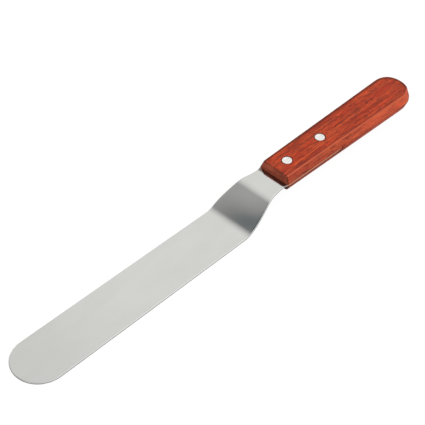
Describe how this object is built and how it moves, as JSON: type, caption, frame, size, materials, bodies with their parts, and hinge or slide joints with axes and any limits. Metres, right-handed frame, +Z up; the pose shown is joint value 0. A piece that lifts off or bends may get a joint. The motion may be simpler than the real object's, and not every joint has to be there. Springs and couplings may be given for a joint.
{
  "type": "offset spatula",
  "caption": "Cranked round-tip spreading blade in stainless strip, with a riveted six-sided hardwood handle.",
  "frame": {"origin": "the middle of the overall length, on the plane that the blade's underside lies on", "axes": "+X from the blade's tip to the handle's butt, +Y across the blade, +Z up from the table"},
  "size_m": [0.3252, 0.0342, 0.0197],
  "materials": {
    "steel": "satin stainless sheet, fine lengthwise grain",
    "rosewood": "oiled reddish hardwood, lengthwise grain",
    "rivet_metal": "polished flush with the wood"
  },
  "bodies": {
    "root": {"blade": "steel", "handle": "rosewood", "rivet_pin_front": "rivet_metal", "rivet_tube_front": "rivet_metal", "rivet_pin_rear": "rivet_metal", "rivet_tube_rear": "rivet_metal"}
  },
  "joints": []
}
